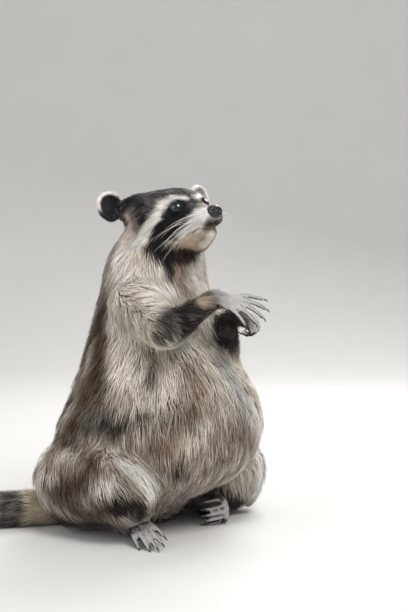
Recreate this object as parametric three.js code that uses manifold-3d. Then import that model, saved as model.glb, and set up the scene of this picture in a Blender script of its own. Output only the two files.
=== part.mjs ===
// A raccoon that sits upright on its rump, hind legs splayed and both forepaws held out in
// front, with its head turned a little to the right and tipped up.
//
// Millimetres, +Z up. The animal faces -Y, so its own left side is +X. The origin lies on the
// floor under the middle of the body. Each solid reaches out to the tips of the coat, and the
// parts meet face to face across a thin gap.

import * as THREE from "three";
import { mergeVertices } from "three/addons/utils/BufferGeometryUtils.js";
import Module from "manifold-3d";

const wasm = await Module();
wasm.setup();

// ---------------------------------------------------------------- driving sizes

const GAP = 0.3; // between two parts that meet
const RIGHT = -1; // the sign of X on each side of the body
const LEFT = 1;

const HEAD_CENTRE = [2, -37, 363];
const HEAD_TURN = { pitch: 19, roll: 4.5, yaw: -16 }; // degrees: nose up, right ear down, to its right

// Half-width to each side, and depth to the front and back, of level slices of the body.
const TORSO = [
  { at: [0, 24, -2], wide: 66, front: 42, back: 74 },
  { at: [0, 18, 30], wide: 86, front: 60, back: 96 },
  { at: [0, 13, 48], wide: 104, front: 98, back: 107 },
  { at: [1, 6, 72], wide: 119, front: 130, back: 114 },
  { at: [2, -1, 116], wide: 129, front: 144, back: 115 },
  { at: [2, -8, 153], wide: 118, front: 135, back: 105 },
  { at: [1, -14, 190], wide: 103, front: 110, back: 97 },
  { at: [0, -15, 226], wide: 91, front: 80, back: 88 },
  { at: [0, -14, 268], wide: 81, front: 69, back: 77 },
  { at: [0, -13, 304], wide: 69, front: 58, back: 68 },
  { at: [0, -20, 334], wide: 62, front: 50, back: 68 },
  { at: [0, -28, 360], wide: 53, front: 35, back: 54 },
];
const WAIST = 0.47; // where the abdomen ends and the chest begins, along TORSO
const NAPE = 0.8; // where the chest ends and the neck begins

// The head in its own frame: nose towards -Y, crown towards +Z.
const SKULL = [
  { at: [0, 50, 2], wide: 34, up: 28, down: 28 },
  { at: [0, 32, 3], wide: 53, up: 42, down: 41 },
  { at: [0, 10, 2], wide: 60, up: 45, down: 46 },
  { at: [0, -10, 1], wide: 56, up: 42, down: 45 },
  { at: [0, -24, -2], wide: 43, up: 35, down: 38 },
  { at: [0, -35, -5], wide: 31, up: 28, down: 29 },
  { at: [0, -46, -8.5], wide: 24, up: 21, down: 20 },
  { at: [0, -57, -11], wide: 19.5, up: 15.5, down: 14.5 },
  { at: [0, -69, -12.5], wide: 16.5, up: 12, down: 12.5 },
  { at: [0, -77, -12.5], wide: 13, up: 9, down: 11 },
];
const LOWER_JAW = [
  { at: [0, -14, -34], wide: 28, up: 12, down: 13 },
  { at: [0, -33, -32], wide: 21, up: 12, down: 12.5 },
  { at: [0, -48, -29.5], wide: 16, up: 10, down: 10.5 },
  { at: [0, -59, -27.5], wide: 12.5, up: 8, down: 8.5 },
];
const NOSE = [
  { at: [0, -74, -10.5], wide: 9.5, up: 8.5, down: 8 },
  { at: [0, -81.5, -11.5], wide: 9.5, up: 8, down: 7.5 },
];
const EYE = { radius: 9, at: [18.3, -35.5, 9.3] };
// Mounds and hollows of the face, each made on both sides.
const FACE = [
  { at: [22, -40, 5], size: 11, height: -3 }, // eye hollow
  { at: [20, -36, 21], size: 10, height: 3 }, // brow
  { at: [58, -4, -24], size: 24, height: 6 }, // cheek ruff
  { at: [13, -66, -20], size: 9, height: 2 }, // whisker pad
  { at: [42, 25, 42], size: 22, height: 18 }, // temple, at the root of the ear
];
const EAR = {
  at: [64, 25, 36],
  wide: 18,
  tall: 21,
  deep: 10,
  tip: [0.66, 0.16, 0.74],
  opening: [0.4, -0.9, 0],
};

// Arms, from the shoulder through the elbow to the wrist. Radii include the coat.
const ARMS = {
  right: {
    upper: { at: [-57, -24, 268], radius: 36 },
    middle: { at: [-84, -95, 244], radius: 24 },
    lower: { at: [-26, -116, 279], radius: 12 },
  },
  left: {
    upper: { at: [56, -22, 262], radius: 35 },
    middle: { at: [46, -74, 206], radius: 28 },
    lower: { at: [19, -101, 254], radius: 12 },
  },
};

// Legs, from the hip through the knee to the ankle.
const LEGS = {
  right: {
    upper: { at: [-82, 42, 62], radius: 62 },
    middle: { at: [-100, -50, 66], radius: 47 },
    lower: { at: [-74, -21, 30], radius: 23 },
  },
  left: {
    upper: { at: [82, 42, 62], radius: 62 },
    middle: { at: [119, -38, 50], radius: 53 },
    lower: { at: [84, -44, 30], radius: 25 },
  },
};
const JOINT_STEP = 0.8; // a lower limb's width at its top, as a share of the joint's

// Paws: forward points at the digits, dorsal out of the back of the paw. Curl is the bend at
// each of a digit's three joints, in degrees; close adds to it towards the fifth digit.
const HAND = { palm: 30, wide: 15, thick: 8, heel: 11, digit: 32, radius: 2.8, claw: 6 };
const FOOT = { palm: 66, wide: 17, thick: 9.5, heel: 13, digit: 31, radius: 3, claw: 7 };
const PAWS = {
  right_hand: {
    ...HAND,
    from: [-24, -118, 280],
    forward: [0.25, -0.95, -0.2],
    dorsal: [-0.6, -0.1, 0.77],
    spread: 19,
    curl: [14, 18, 20],
    close: 0.5,
    thumb: LEFT,
  },
  left_hand: {
    ...HAND,
    palm: 22,
    digit: 26,
    from: [24, -111, 255],
    forward: [0.35, -0.85, -0.25],
    dorsal: [-0.3, -0.3, 0.9],
    spread: 8,
    curl: [50, 80, 50],
    close: 0,
    thumb: RIGHT,
  },
  right_foot: {
    ...FOOT,
    from: [-65, -16, 22],
    forward: [-0.484, -0.868, -0.1],
    dorsal: [-0.4, 0, 0.9],
    spread: 6,
    curl: [14, 10, 0],
    close: 0,
    thumb: LEFT,
  },
  left_foot: {
    ...FOOT,
    palm: 62,
    wide: 17.5,
    from: [77, -20, 17],
    forward: [-0.42, -0.9, 0],
    dorsal: [0.9, -0.42, 0.1],
    spread: 4,
    curl: [70, 22, 10],
    close: 0,
    thumb: RIGHT,
  },
};

// The tail lies on the floor behind the right hip.
const TAIL = [
  { at: [-14, 72, 34], radius: 21 },
  { at: [-52, 84, 25], radius: 23 },
  { at: [-92, 101, 21.5], radius: 24 },
  { at: [-128, 128, 21.5], radius: 24.5 },
  { at: [-158, 163, 21.5], radius: 24.5 },
  { at: [-179, 202, 20.5], radius: 23 },
  { at: [-189, 236, 17], radius: 18 },
];
const TAIL_LENGTHS = 4;

const FUR = { grizzled: 0x8d857c, dark: 0x3b332e, pale: 0xb9b2a8, tail: 0x6d6152 };

// ---------------------------------------------------------------- making solids

const vector = (xyz) => new THREE.Vector3(...xyz);
const radians = THREE.MathUtils.degToRad;

// A manifold-3d solid from a closed three.js geometry, with its faces turned outwards.
function solidOf(geometry) {
  const bare = geometry.clone();
  bare.deleteAttribute("normal");
  bare.deleteAttribute("uv");
  const merged = mergeVertices(bare, 1e-4);
  const mesh = {
    numProp: 3,
    vertProperties: new Float32Array(merged.attributes.position.array),
    triVerts: new Uint32Array(merged.index.array),
  };
  const made = new wasm.Manifold(new wasm.Mesh(mesh));
  if (made.volume() > 0) return made;
  mesh.triVerts.reverse();
  return new wasm.Manifold(new wasm.Mesh(mesh));
}

function geometryOf(solid) {
  const mesh = solid.getMesh();
  const geometry = new THREE.BufferGeometry();
  geometry.setAttribute("position", new THREE.BufferAttribute(mesh.vertProperties, 3));
  geometry.setIndex(new THREE.BufferAttribute(mesh.triVerts, 1));
  return geometry;
}

function box(low, high) {
  const size = vector(high).sub(vector(low));
  const middle = vector(high).add(vector(low)).multiplyScalar(0.5);
  return solidOf(new THREE.BoxGeometry(...size.toArray()).translate(...middle.toArray()));
}

// One solid from several that overlap.
const joined = (solids) => solids.reduce((whole, piece) => whole.add(piece));

// The largest of the pieces that a cut leaves.
const largest = (solid) =>
  solid.decompose().reduce((a, b) => (a.volume() > b.volume() ? a : b));

// A closed body swept along a smooth line through stations. Each station has a place and three
// radii: wide to both sides, up in the direction toward, and down away from it. The body covers
// the stretch in range, and ends in a dome of the given length, or flat where that is 0. Its
// rings stand square to the line, or to axis where one is given.
function sweep(stations, options) {
  const { toward, sides, steps, domes = [0, 0], domeRings = 2, range = [0, 1] } = options;
  const { axis, grow = 0, shape = (point) => point, matrix = new THREE.Matrix4() } = options;
  const line = new THREE.CatmullRomCurve3(stations.map((s) => vector(s.at)));
  const radii = new THREE.CatmullRomCurve3(
    stations.map((s) => new THREE.Vector3(s.wide, s.up, s.down)),
    false,
    "catmullrom",
  );
  const rings = [];
  const addRing = (t, shift, scale) => {
    const tangent = axis ? vector(axis) : line.getTangent(t);
    const up = vector(toward).addScaledVector(tangent, -tangent.dot(vector(toward))).normalize();
    const side = new THREE.Vector3().crossVectors(tangent, up);
    const centre = line.getPoint(t).addScaledVector(tangent, shift);
    const size = radii.getPoint(t).addScalar(grow).multiplyScalar(scale);
    const ring = [];
    for (let i = 0; i < (scale > 0 ? sides : 1); i++) {
      const angle = (2 * Math.PI * i) / sides;
      const height = Math.sin(angle) * (Math.sin(angle) > 0 ? size.y : size.z);
      const point = centre.clone().addScaledVector(side, Math.cos(angle) * size.x);
      ring.push(shape(point.addScaledVector(up, height), centre));
    }
    rings.push(ring);
  };
  const addDome = (t, length, way) => {
    const turns = Array.from({ length: domeRings }, (_, k) => ((k + 1) * Math.PI) / 2 / domeRings);
    if (way < 0) turns.reverse();
    if (length === 0) return addRing(t, way * grow, 0);
    for (const turn of turns) {
      const last = turn > Math.PI / 2 - 1e-6;
      addRing(t, way * (length + grow) * Math.sin(turn), last ? 0 : Math.cos(turn));
    }
  };
  const [first, last] = range;
  const spans = Math.max(2, Math.round((stations.length - 1) * steps * (last - first)));
  addDome(first, domes[0], -1);
  for (let i = 0; i <= spans; i++) {
    const endShift = i === 0 && domes[0] === 0 ? -grow : i === spans && domes[1] === 0 ? grow : 0;
    addRing(first + ((last - first) * i) / spans, endShift, 1);
  }
  addDome(last, domes[1], 1);
  return solidOf(stitched(rings).applyMatrix4(matrix));
}

// A closed geometry over rings of points, of which the first and the last are single points.
function stitched(rings) {
  const starts = [];
  const places = [];
  for (const ring of rings) {
    starts.push(places.length / 3);
    for (const point of ring) places.push(...point.toArray());
  }
  const faces = [];
  for (let r = 0; r + 1 < rings.length; r++) {
    const [near, far] = [rings[r].length, rings[r + 1].length];
    for (let i = 0; i < Math.max(near, far); i++) {
      const a = starts[r] + (i % near);
      const b = starts[r] + ((i + 1) % near);
      const c = starts[r + 1] + (i % far);
      const d = starts[r + 1] + ((i + 1) % far);
      if (near > 1) faces.push(a, b, c);
      if (far > 1) faces.push(c, b, d);
    }
  }
  const geometry = new THREE.BufferGeometry();
  geometry.setAttribute("position", new THREE.Float32BufferAttribute(places, 3));
  geometry.setIndex(faces);
  return geometry;
}

const round = ({ at, radius }) => ({ at, wide: radius, up: radius, down: radius });

// ---------------------------------------------------------------- body and tail

const torso = (range, domes) => (grow) =>
  sweep(
    TORSO.map(({ at, wide, front, back }) => ({ at, wide, up: front, down: back })),
    { toward: [0, -1, 0], axis: [0, 0, 1], sides: 24, steps: 1.2, range, domes, grow },
  );

const tailLength = (index) => (grow) =>
  sweep(TAIL.map(round), {
    toward: [0, 0, 1],
    sides: 14,
    steps: 2,
    range: [index / TAIL_LENGTHS, (index + 1) / TAIL_LENGTHS],
    domes: [0, index === TAIL_LENGTHS - 1 ? 16 : 0],
    grow,
  });

// ---------------------------------------------------------------- head

const headMatrix = new THREE.Matrix4()
  .makeRotationFromEuler(
    new THREE.Euler(
      -radians(HEAD_TURN.pitch),
      -radians(HEAD_TURN.roll),
      radians(HEAD_TURN.yaw),
      "ZXY",
    ),
  )
  .setPosition(...HEAD_CENTRE);

// Moves a point of the face out from, or in towards, the middle of its ring.
function faceShape(point, centre) {
  let height = 0;
  for (const bump of FACE) {
    const [x, y, z] = bump.at;
    const away = Math.hypot(Math.abs(point.x) - x, point.y - y, point.z - z);
    height += bump.height * Math.exp(-((away / bump.size) ** 2));
  }
  const out = point.clone().sub(centre);
  return out.length() ? point.addScaledVector(out.normalize(), height) : point;
}

const headSweep = (stations, sides, domes, shape) => (grow) =>
  sweep(stations, { toward: [0, 0, 1], sides, steps: 1.3, domes, shape, grow, matrix: headMatrix });

const skull = headSweep(SKULL, 24, [5, 4], faceShape);
const lowerJaw = headSweep(LOWER_JAW, 14, [6, 5]);
const nose = headSweep(NOSE, 12, [4, 3]);

function ellipsoid(radii, matrix, rows = 12) {
  const ball = new THREE.SphereGeometry(1, Math.round(rows * 1.6), rows);
  return solidOf(ball.scale(...radii).applyMatrix4(matrix));
}

const eye = (side) => (grow) => {
  const [x, y, z] = EYE.at;
  const place = new THREE.Matrix4().makeTranslation(side * x, y, z);
  const radius = EYE.radius + grow;
  return ellipsoid([radius, radius, radius], place.premultiply(headMatrix), 6);
};

// An ear is a bowl: a flattened ellipsoid, hollowed from its front.
const ear = (side) => (grow) => {
  const mirrored = ([x, y, z]) => new THREE.Vector3(side * x, y, z);
  const tip = mirrored(EAR.tip).normalize();
  const opening = mirrored(EAR.opening);
  opening.addScaledVector(tip, -tip.dot(opening)).normalize();
  const across = new THREE.Vector3().crossVectors(tip, opening);
  const frame = new THREE.Matrix4().makeBasis(across, tip, opening);
  frame.setPosition(mirrored(EAR.at)).premultiply(headMatrix);
  const { wide, tall, deep } = EAR;
  const outer = ellipsoid([wide + grow, tall + grow, deep + grow], frame, 7);
  if (grow) return outer;
  const shift = new THREE.Matrix4().makeTranslation(0, -0.04 * tall, 0.62 * deep);
  const hollow = ellipsoid([0.84 * wide, 0.87 * tall, 0.9 * deep], frame.clone().multiply(shift), 6);
  return outer.subtract(hollow);
};

// ---------------------------------------------------------------- limbs

// A length of a limb, which ends in a dome at each joint.
const limb = (from, to, share = 1) => (grow) => {
  const start = { at: from.at, radius: share * from.radius };
  const half = vector(from.at).lerp(vector(to.at), 0.5).toArray();
  const middle = { at: half, radius: (start.radius + to.radius) / 2 };
  return sweep([start, middle, to].map(round), {
    toward: [0.1, 0.2, 1],
    sides: 14,
    steps: 2,
    domes: [0.85 * start.radius, 0.85 * to.radius],
    grow,
  });
};

// The frame of a paw: X towards the first digit, Y forward and Z out of its back.
function pawMatrix({ from, forward, dorsal, thumb }) {
  const y = vector(forward).normalize();
  const z = vector(dorsal).addScaledVector(y, -y.dot(vector(dorsal))).normalize();
  const x = new THREE.Vector3().crossVectors(y, z).multiplyScalar(-thumb);
  return new THREE.Matrix4().makeBasis(x, y, z).setPosition(vector(from));
}

const DIGITS = 5;
const PHALANGES = [0.45, 0.33, 0.22]; // shares of a digit's length

// The joints of a digit from its root in the palm to its tip, and the way its tip points.
function digitLine(paw, index) {
  const offset = 1 - (2 * index) / (DIGITS - 1); // 1 at the first digit, -1 at the fifth
  const turn = radians(paw.spread * offset);
  const reach = paw.digit * (1 - 0.16 * offset ** 2);
  const point = new THREE.Vector3(
    0.78 * paw.wide * offset,
    paw.palm * (1 - 0.16 * offset ** 2),
    0.15 * paw.thick,
  );
  const root = point.clone().add(new THREE.Vector3(0, -0.22 * paw.palm, -0.1 * paw.thick));
  const joints = [root, point.clone()];
  let bend = 0;
  const way = new THREE.Vector3();
  PHALANGES.forEach((share, joint) => {
    bend += radians(paw.curl[joint]) * (1 - paw.close * offset);
    way.set(Math.sin(turn) * Math.cos(bend), Math.cos(turn) * Math.cos(bend), -Math.sin(bend));
    joints.push(point.addScaledVector(way, share * reach).clone());
  });
  return { joints, way, bend, turn };
}

const DIGIT_TAPER = [0.85, 1.05, 1, 0.94, 0.78];

const paw = (name) => (grow) => {
  const spec = PAWS[name];
  const { palm, wide, thick, heel, radius } = spec;
  const matrix = pawMatrix(spec);
  const sole = sweep(
    [
      { at: [0, 0, 0], wide: heel, up: heel, down: heel },
      { at: [0, 0.45 * palm, 0], wide: 0.5 * (heel + wide), up: 0.95 * thick, down: 0.95 * thick },
      { at: [0, 0.85 * palm, 0], wide, up: 0.8 * thick, down: 0.85 * thick },
      { at: [0, palm, -0.5], wide: 0.86 * wide, up: 0.6 * thick, down: 0.7 * thick },
    ],
    { toward: [0, 0, 1], sides: 9, steps: 1, domes: [0.8 * heel, 3], grow, matrix },
  );
  const digits = Array.from({ length: DIGITS }, (_, index) =>
    sweep(
      digitLine(spec, index).joints.map((joint, k) =>
        round({ at: joint.toArray(), radius: radius * DIGIT_TAPER[k] }),
      ),
      { toward: [1, 0, 0], sides: 6, steps: 1, domes: [0, 0.7 * radius], domeRings: 1, grow, matrix },
    ),
  );
  return joined([sole, ...digits]);
};

// A claw grows from the upper side of a digit's tip and bends down.
const claw = (name, index) => (grow) => {
  const spec = PAWS[name];
  const { joints, way, bend, turn } = digitLine(spec, index);
  const droop = bend + radians(28);
  const bent = new THREE.Vector3(
    Math.sin(turn) * Math.cos(droop),
    Math.cos(turn) * Math.cos(droop),
    -Math.sin(droop),
  );
  const back = new THREE.Vector3(0, Math.sin(bend), Math.cos(bend));
  const tip = joints.at(-1).addScaledVector(back, 0.3 * spec.radius);
  const middle = tip.clone().addScaledVector(way, 0.62 * spec.claw);
  const end = middle.clone().addScaledVector(bent, 0.5 * spec.claw);
  const base = 0.4 * spec.radius;
  return sweep(
    [
      round({ at: tip.toArray(), radius: base }),
      round({ at: middle.toArray(), radius: 0.75 * base }),
      round({ at: end.toArray(), radius: 0.3 }),
    ],
    {
      toward: [1, 0, 0],
      sides: 4,
      steps: 1,
      domes: [0, 0.3],
      domeRings: 1,
      grow,
      matrix: pawMatrix(spec),
    },
  );
};

// ---------------------------------------------------------------- the whole animal

// Every part in the order of carving: each one gives way to all the parts before it.
const parts = [];
const add = (group, name, colour, build, roughness = 0.9) =>
  parts.push({ group, name, colour, build, roughness });

const SIDES = { right: RIGHT, left: LEFT };
for (const [side, sign] of Object.entries(SIDES)) add("head", `${side}_eye`, 0x1a120d, eye(sign), 0.08);
add("head", "nose", 0x17151a, nose, 0.35);
add("head", "head", FUR.grizzled, skull);
add("head", "lower_jaw", FUR.pale, lowerJaw);
for (const [side, sign] of Object.entries(SIDES)) add("head", `${side}_ear`, FUR.pale, ear(sign));
add("trunk", "neck", FUR.grizzled, torso([NAPE, 1], [0, 0]));
add("trunk", "chest", FUR.grizzled, torso([WAIST, NAPE], [0, 0]));
add("trunk", "abdomen", FUR.grizzled, torso([0, WAIST], [0, 0]));
for (const [side, arm] of Object.entries(ARMS)) {
  add(`${side}_arm`, `${side}_upper_arm`, FUR.grizzled, limb(arm.upper, arm.middle));
  add(`${side}_arm`, `${side}_forearm`, FUR.dark, limb(arm.middle, arm.lower, JOINT_STEP));
}
for (const [side, leg] of Object.entries(LEGS)) {
  add(`${side}_leg`, `${side}_thigh`, FUR.grizzled, limb(leg.upper, leg.middle));
  add(`${side}_leg`, `${side}_shin`, FUR.dark, limb(leg.middle, leg.lower, JOINT_STEP));
}
for (const name of Object.keys(PAWS)) {
  add(name, name, FUR.pale, paw(name), 0.75);
  for (let index = 0; index < DIGITS; index++)
    add(name, `${name}_claw_${index + 1}`, 0x4a403a, claw(name, index), 0.4);
}
for (let index = 0; index < TAIL_LENGTHS; index++)
  add("tail", `tail_${index + 1}`, FUR.tail, tailLength(index));

const PIVOTS = {
  head: HEAD_CENTRE,
  trunk: TORSO[0].at,
  right_arm: ARMS.right.upper.at,
  left_arm: ARMS.left.upper.at,
  right_leg: LEGS.right.upper.at,
  left_leg: LEGS.left.upper.at,
  tail: TAIL[0].at,
  ...Object.fromEntries(Object.entries(PAWS).map(([name, spec]) => [name, spec.from])),
};

const raccoon = new THREE.Group();
const groups = {};
for (const [name, pivot] of Object.entries(PIVOTS)) {
  groups[name] = new THREE.Group();
  groups[name].position.set(...pivot);
  raccoon.add(groups[name]);
}

const ROOM = 600; // further than the animal reaches
const aboveFloor = box([-ROOM, -ROOM, 0], [ROOM, ROOM, ROOM]);
const boxesMeet = (a, b) =>
  [0, 1, 2].every((axis) => a.min[axis] <= b.max[axis] && b.min[axis] <= a.max[axis]);
const carvers = [];
for (const { group, name, colour, build, roughness } of parts) {
  let solid = build(0).intersect(aboveFloor);
  for (const carver of carvers)
    if (boxesMeet(carver.boundingBox(), solid.boundingBox())) solid = solid.subtract(carver);
  carvers.push(build(GAP));
  const [x, y, z] = PIVOTS[group];
  const geometry = geometryOf(largest(solid)).translate(-x, -y, -z);
  const material = new THREE.MeshStandardMaterial({ color: colour, roughness, metalness: 0 });
  const mesh = new THREE.Mesh(geometry, material);
  mesh.name = name;
  groups[group].add(mesh);
}

export default raccoon;
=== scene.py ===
"""A raccoon that sits upright, as a life-size museum model: its skin, coat, eyes, nose, claws
and whiskers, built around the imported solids, on a plain floor in soft studio light."""

import math
from collections import namedtuple

import bmesh
import bpy
import numpy as np
from bpy.props import FloatProperty, FloatVectorProperty, IntProperty, PointerProperty
from bpy.types import Operator, Panel, PropertyGroup
from mathutils import Matrix, Vector
from mathutils.bvhtree import BVHTree
from mathutils.kdtree import KDTree


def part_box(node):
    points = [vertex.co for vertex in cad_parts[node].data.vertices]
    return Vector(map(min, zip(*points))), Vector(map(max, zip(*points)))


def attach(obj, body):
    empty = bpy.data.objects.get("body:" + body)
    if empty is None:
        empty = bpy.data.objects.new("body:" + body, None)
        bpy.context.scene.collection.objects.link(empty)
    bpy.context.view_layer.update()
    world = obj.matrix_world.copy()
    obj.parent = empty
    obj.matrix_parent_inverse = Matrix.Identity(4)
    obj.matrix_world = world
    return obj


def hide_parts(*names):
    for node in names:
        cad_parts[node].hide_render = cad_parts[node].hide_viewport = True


bl_info = {
    "name": "Raccoon Museum Model",
    "version": (1, 0, 0),
    "blender": (4, 5, 0),
    "location": "View3D > Sidebar > Raccoon",
    "description": "Builds the skin, coat, eyes, nose, claws and whiskers of a sitting raccoon",
    "category": "Object",
}

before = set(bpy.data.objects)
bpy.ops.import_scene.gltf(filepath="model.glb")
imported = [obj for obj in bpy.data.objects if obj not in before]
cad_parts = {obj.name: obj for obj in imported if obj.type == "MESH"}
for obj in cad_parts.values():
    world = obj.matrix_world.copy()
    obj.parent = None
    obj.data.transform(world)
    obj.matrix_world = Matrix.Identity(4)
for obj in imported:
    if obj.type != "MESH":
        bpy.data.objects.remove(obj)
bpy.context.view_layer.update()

MM = 0.001
SIDES = {"right": -1, "left": 1}
PAWS = [f"{side}_{kind}" for kind in ("hand", "foot") for side in SIDES]
TAIL = [f"tail_{index}" for index in (1, 2, 3, 4)]
HEAD = ["head", "lower_jaw"]
EARS = [f"{side}_ear" for side in SIDES]
TRUNK = ["neck", "chest", "abdomen"]
LIMBS = [
    f"{side}_{length}" for side in SIDES for length in ("upper_arm", "forearm", "thigh", "shin")
]
FLESH = HEAD + EARS + TRUNK + LIMBS + PAWS + TAIL
BARE = ["nose", "right_eye", "left_eye"]
FORM = FLESH + BARE


# ---------------------------------------------------------------- measures of the frame


def centre(node):
    """The middle of a node's box."""
    low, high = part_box(node)
    return (low + high) / 2


def claws_of(paw):
    """The nodes of a paw's five claws."""
    return [f"{paw}_claw_{number}" for number in range(1, 6)]


def head_frame():
    """The matrix from the head's own frame to the row's: the nose is towards -Y, the crown
    towards +Z and the left side is +X. It is worked out from the eyes and the nose."""
    drop = math.radians(25.7)  # the nose lies this far below the level line through the eyes
    right, left, nose = (centre(node) for node in ("right_eye", "left_eye", "nose"))
    between = (left + right) / 2
    across = (left - right).normalized()
    ahead = nose - between
    ahead = (ahead - across * ahead.dot(across)).normalized()
    over = across.cross(ahead)
    forward = ahead * math.cos(drop) - over * math.sin(drop)
    up = -ahead * math.sin(drop) - over * math.cos(drop)
    turn = Matrix((across, -forward, up)).transposed()
    eyes = Vector((0, -35.5, 9.3)) * MM  # midway between the eyes, in the head's own frame
    return Matrix.Translation(between - turn @ eyes) @ turn.to_4x4()


HEAD_MATRIX = head_frame()
HEAD_TURN = np.array(HEAD_MATRIX.to_3x3())
HEAD_PLACE = np.array(HEAD_MATRIX.translation)


def in_head(points):
    """Points of the row frame in the head's own frame, in millimetres."""
    return (points - HEAD_PLACE) @ HEAD_TURN / MM


def from_head(points):
    """Points of the head's own frame, in millimetres, in the row frame."""
    return np.asarray(points, float) * MM @ HEAD_TURN.T + HEAD_PLACE


# ---------------------------------------------------------------- arrays on a mesh


def unit(vectors):
    """Vectors made one long; those of no length stay so."""
    return vectors / np.maximum(np.linalg.norm(vectors, axis=-1, keepdims=True), 1e-12)


def step(values, start, end):
    """0 before start, 1 after end, and smooth between them."""
    t = np.clip((np.asarray(values, float) - start) / (end - start), 0, 1)
    return t * t * (3 - 2 * t)


def blend(first, second, share):
    """The first, turning into the second as share goes from 0 to 1."""
    share = np.asarray(share, float)
    if np.ndim(first) > share.ndim or np.ndim(second) > share.ndim:
        share = share[..., None]
    return first * (1 - share) + second * share


def wander(points, size, seed=0):
    """A smooth, irregular field of vectors within about one unit, with waves of that size."""
    rng = np.random.default_rng(seed)
    total = np.zeros_like(points)
    for octave in range(4):
        waves = rng.normal(size=(3, 3)) * 2.2 * (1 + 0.5 * octave) / size
        total += np.sin(points @ waves + rng.uniform(0, 2 * math.pi, 3)) / (1 + 0.4 * octave)
    return total / 2.1


def fetched(items, field, width, dtype=float):
    """A field of every one of Blender's items, as an array with that many columns."""
    values = np.empty(len(items) * width, dtype)
    items.foreach_get(field, values)
    return values.reshape(-1, width)


class Surface:
    """The vertices and triangles of an object's mesh as arrays."""

    def __init__(self, thing):
        self.thing = thing
        mesh = thing.data
        mesh.calc_loop_triangles()
        self.points = fetched(mesh.vertices, "co", 3)
        self.faces = fetched(mesh.loop_triangles, "vertices", 3, int)
        edges = fetched(mesh.edges, "vertices", 2, int)
        both = np.concatenate([edges, edges[:, ::-1]])
        both = both[np.argsort(both[:, 0], kind="stable")]
        self.neighbours = both[:, 1]
        self.counts = np.bincount(both[:, 0], minlength=len(self.points))
        self.starts = np.concatenate([[0], np.cumsum(self.counts)[:-1]])

    def smoothed(self, values, rounds, pull=0.5):
        """Values of the vertices, each drawn towards the mean of its neighbours."""
        values = np.array(values, float)
        counts = self.counts if values.ndim == 1 else self.counts[:, None]
        for _ in range(rounds):
            mean = np.add.reduceat(values[self.neighbours], self.starts, axis=0) / counts
            values += (mean - values) * pull
        return values

    def normals(self):
        """The vertices' normals."""
        a, b, c = (self.points[self.faces[:, corner]] for corner in range(3))
        crosses = np.cross(b - a, c - a)
        total = np.zeros_like(self.points)
        for corner in range(3):
            for axis in range(3):
                total[:, axis] += np.bincount(
                    self.faces[:, corner], crosses[:, axis], len(self.points)
                )
        return unit(total)

    def relax(self, rounds):
        """Evens out small steps, and pushes back so that the form keeps its size."""
        for _ in range(rounds):
            self.points = self.smoothed(self.points, 1, 0.5)
            self.points = self.smoothed(self.points, 1, -0.52)

    def write(self):
        """Puts the points back in the mesh."""
        self.thing.data.vertices.foreach_set("co", self.points.ravel())
        self.thing.data.update()


def new_object(name, data):
    """An object of that mesh, lamp or camera, in the scene."""
    thing = bpy.data.objects.new(name, data)
    bpy.context.scene.collection.objects.link(thing)
    return thing


def give_mesh(thing, mesh):
    """Puts a new mesh in an object and drops its old one."""
    old = thing.data
    thing.data = mesh
    bpy.data.meshes.remove(old)


def with_modifier(thing, kind, **settings):
    """Applies one modifier to an object's mesh."""
    modifier = thing.modifiers.new(kind, kind)
    for name, value in settings.items():
        setattr(modifier, name, value)
    depsgraph = bpy.context.evaluated_depsgraph_get()
    made = bpy.data.meshes.new_from_object(thing.evaluated_get(depsgraph))
    thing.modifiers.clear()
    give_mesh(thing, made)


def fused(name, nodes, grow, voxel):
    """One closed mesh around several nodes, each grown a little so that the gaps close."""
    whole = bmesh.new()
    for node in nodes:
        whole.from_mesh(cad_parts[node].data)
    bmesh.ops.remove_doubles(whole, verts=whole.verts, dist=0.02 * MM)
    bmesh.ops.recalc_face_normals(whole, faces=whole.faces)
    whole.normal_update()
    for vertex in whole.verts:
        vertex.co += vertex.normal * grow
    mesh = bpy.data.meshes.new(name)
    whole.to_mesh(mesh)
    whole.free()
    thing = new_object(name, mesh)
    with_modifier(thing, "REMESH", mode="VOXEL", voxel_size=voxel)
    return thing


def shade_smooth(mesh):
    """Makes every face of a mesh smooth."""
    mesh.polygons.foreach_set("use_smooth", np.ones(len(mesh.polygons), bool))


def mesh_of(name, points, faces):
    """A mesh of triangles from arrays."""
    mesh = bpy.data.meshes.new(name)
    mesh.vertices.add(len(points))
    mesh.vertices.foreach_set("co", np.asarray(points, np.float32).ravel())
    mesh.loops.add(faces.size)
    mesh.loops.foreach_set("vertex_index", np.asarray(faces, np.int32).ravel())
    mesh.polygons.add(len(faces))
    mesh.polygons.foreach_set("loop_start", np.arange(0, faces.size, 3, dtype=np.int32))
    mesh.update(calc_edges=True)
    shade_smooth(mesh)
    return mesh


def keep_largest(thing):
    """Drops every loose piece of a mesh but the largest, and leaves it in triangles."""
    surface = Surface(thing)
    group = np.arange(len(surface.points))
    while True:
        lowest = np.minimum.reduceat(group[surface.neighbours], surface.starts)
        lower = np.minimum(group, lowest)
        lower = lower[lower]
        if (lower == group).all():
            break
        group = lower
    names, sizes = np.unique(group, return_counts=True)
    kept = group == names[np.argmax(sizes)]
    places = np.cumsum(kept) - 1
    faces = places[surface.faces[kept[surface.faces[:, 0]]]]
    give_mesh(thing, mesh_of(thing.data.name, surface.points[kept], faces))


def nearest_of(spots, points):
    """For each point, the index of the nearest spot."""
    tree = KDTree(len(spots))
    for index, spot in enumerate(spots.tolist()):
        tree.insert(spot, index)
    tree.balance()
    return np.array([tree.find(point)[1] for point in points.tolist()])


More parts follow.
